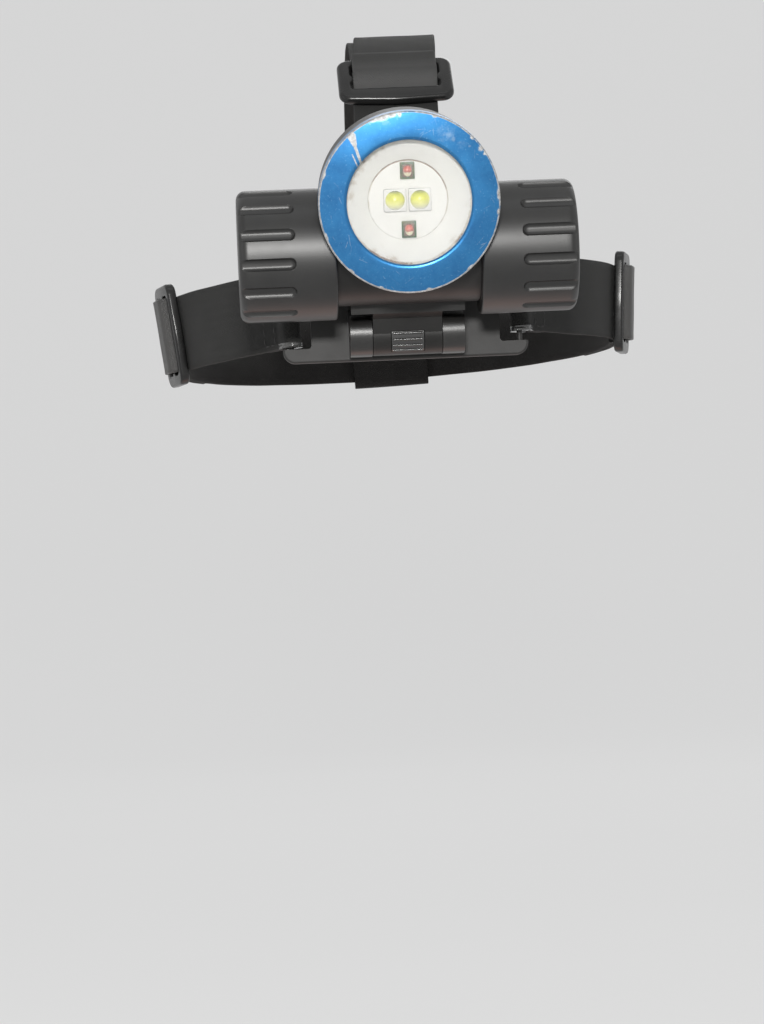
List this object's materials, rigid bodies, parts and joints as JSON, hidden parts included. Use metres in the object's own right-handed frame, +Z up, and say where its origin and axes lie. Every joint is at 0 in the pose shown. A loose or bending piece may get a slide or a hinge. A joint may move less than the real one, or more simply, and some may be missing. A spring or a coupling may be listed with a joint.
{
  "type": "miner's cap lamp",
  "caption": "Head-worn lamp: round window in a blue ring on a tilting barrel with screw-capped battery tubes, front plate, headband and top strap with slide adjusters.",
  "frame": {"origin": "centre of the head opening, about half way up the headband", "axes": "+Z up towards the crown; the lamp looks along -Y; +X is to the right in a front view"},
  "size_m": [0.1655, 0.2596, 0.1199],
  "materials": {
    "body_plastic": "satin",
    "cap_plastic": "satin",
    "buckle_plastic": "semi-gloss",
    "webbing": "woven",
    "blue_anodised": "anodised, worn at the edges",
    "clear_glass": "polished",
    "white_dish": "matt",
    "led_ceramic": "matt",
    "led_phosphor": "clear dome over phosphor",
    "green_board": "solder mask",
    "red_emitter": "clear dome",
    "switch_plastic": "moulded",
    "bare_aluminium": "turned",
    "steel": "bright",
    "brass": "plain",
    "black_rubber": "moulded",
    "cell_sleeve": "shrink sleeve"
  },
  "bodies": {
    "root": {"front_plate": "body_plastic", "hinge_pin": "steel", "band_front_right": "webbing", "band_front_left": "webbing", "band_rear": "webbing", "top_strap_front": "webbing", "top_strap_rear": "webbing", "rear_strap_loop": "webbing"},
    "lamp": {"lamp_housing": "body_plastic", "hinge_arm": "body_plastic", "arm_screws": "steel", "latch_leaf": "steel", "bezel_ring": "blue_anodised", "front_lens": "clear_glass", "lens_seal": "black_rubber", "reflector_dish": "white_dish", "led_disc": "white_dish", "heat_spreader": "bare_aluminium", "white_led_bases": "led_ceramic", "white_led_domes": "led_phosphor", "red_led_boards": "green_board", "red_leds": "red_emitter", "driver_board": "green_board", "switch_body": "switch_plastic", "switch_retainer": "body_plastic", "switch_spring": "steel", "centre_contacts": "brass", "cell_right": "cell_sleeve", "cell_left": "cell_sleeve", "cap_oring_right": "black_rubber", "cap_oring_left": "black_rubber"},
    "latch": {"latch_tab": "body_plastic"},
    "button": {"switch_button": "black_rubber"},
    "cap_thread_right": {"cap_contact_right": "brass", "cap_spring_right": "steel"},
    "cap_right": {"battery_cap_right": "cap_plastic"},
    "cap_thread_left": {"cap_contact_left": "brass", "cap_spring_left": "steel"},
    "cap_left": {"battery_cap_left": "cap_plastic"},
    "adjuster_right": {"buckle_right": "buckle_plastic", "strap_hump_right": "webbing"},
    "adjuster_left": {"buckle_left": "buckle_plastic", "strap_hump_left": "webbing"},
    "adjuster_top": {"buckle_top": "buckle_plastic", "strap_hump_top": "webbing"}
  },
  "joints": [
    {"name": "lamp_tilt", "type": "hinge", "parent": "root", "child": "lamp", "pos_m": [0, -0.107, -0.0104], "axis": [1, 0, 0], "range_deg": [-5, 55]},
    {"name": "latch_press", "type": "slide", "parent": "lamp", "child": "latch", "axis": [0, 0.8746, 0.4848], "range_m": [0, 0.0009], "stiffness_N_per_m": 1500},
    {"name": "button_press", "type": "slide", "parent": "lamp", "child": "button", "axis": [0, -0.9755, -0.2198], "range_m": [0, 0.0015], "stiffness_N_per_m": 1800},
    {"name": "cap_travel_right", "type": "slide", "parent": "lamp", "child": "cap_thread_right", "axis": [1, 0, 0], "range_m": [0, 0.01]},
    {"name": "cap_turn_right", "type": "hinge", "parent": "cap_thread_right", "child": "cap_right", "pos_m": [0, -0.12506, 0.01423], "axis": [1, 0, 0], "range_deg": [0, 1800]},
    {"name": "cap_travel_left", "type": "slide", "parent": "lamp", "child": "cap_thread_left", "axis": [-1, 0, 0], "range_m": [0, 0.01]},
    {"name": "cap_turn_left", "type": "hinge", "parent": "cap_thread_left", "child": "cap_left", "pos_m": [0, -0.12506, 0.01423], "axis": [-1, 0, 0], "range_deg": [0, 1800]},
    {"name": "adjust_right", "type": "slide", "parent": "root", "child": "adjuster_right", "axis": [-0.2217, -0.975, 0.0143], "range_m": [-0.005, 0.005]},
    {"name": "adjust_left", "type": "slide", "parent": "root", "child": "adjuster_left", "axis": [0.2217, -0.9747, 0.0286], "range_m": [-0.005, 0.005]},
    {"name": "adjust_top", "type": "slide", "parent": "root", "child": "adjuster_top", "axis": [0, -0.7473, -0.6645], "range_m": [-0.005, 0.005]}
  ],
  "couplings": [
    {"joint": "cap_travel_right", "follows": "cap_turn_right", "m_per_rad": 0.0003183},
    {"joint": "cap_travel_left", "follows": "cap_turn_left", "m_per_rad": 0.0003183}
  ]
}
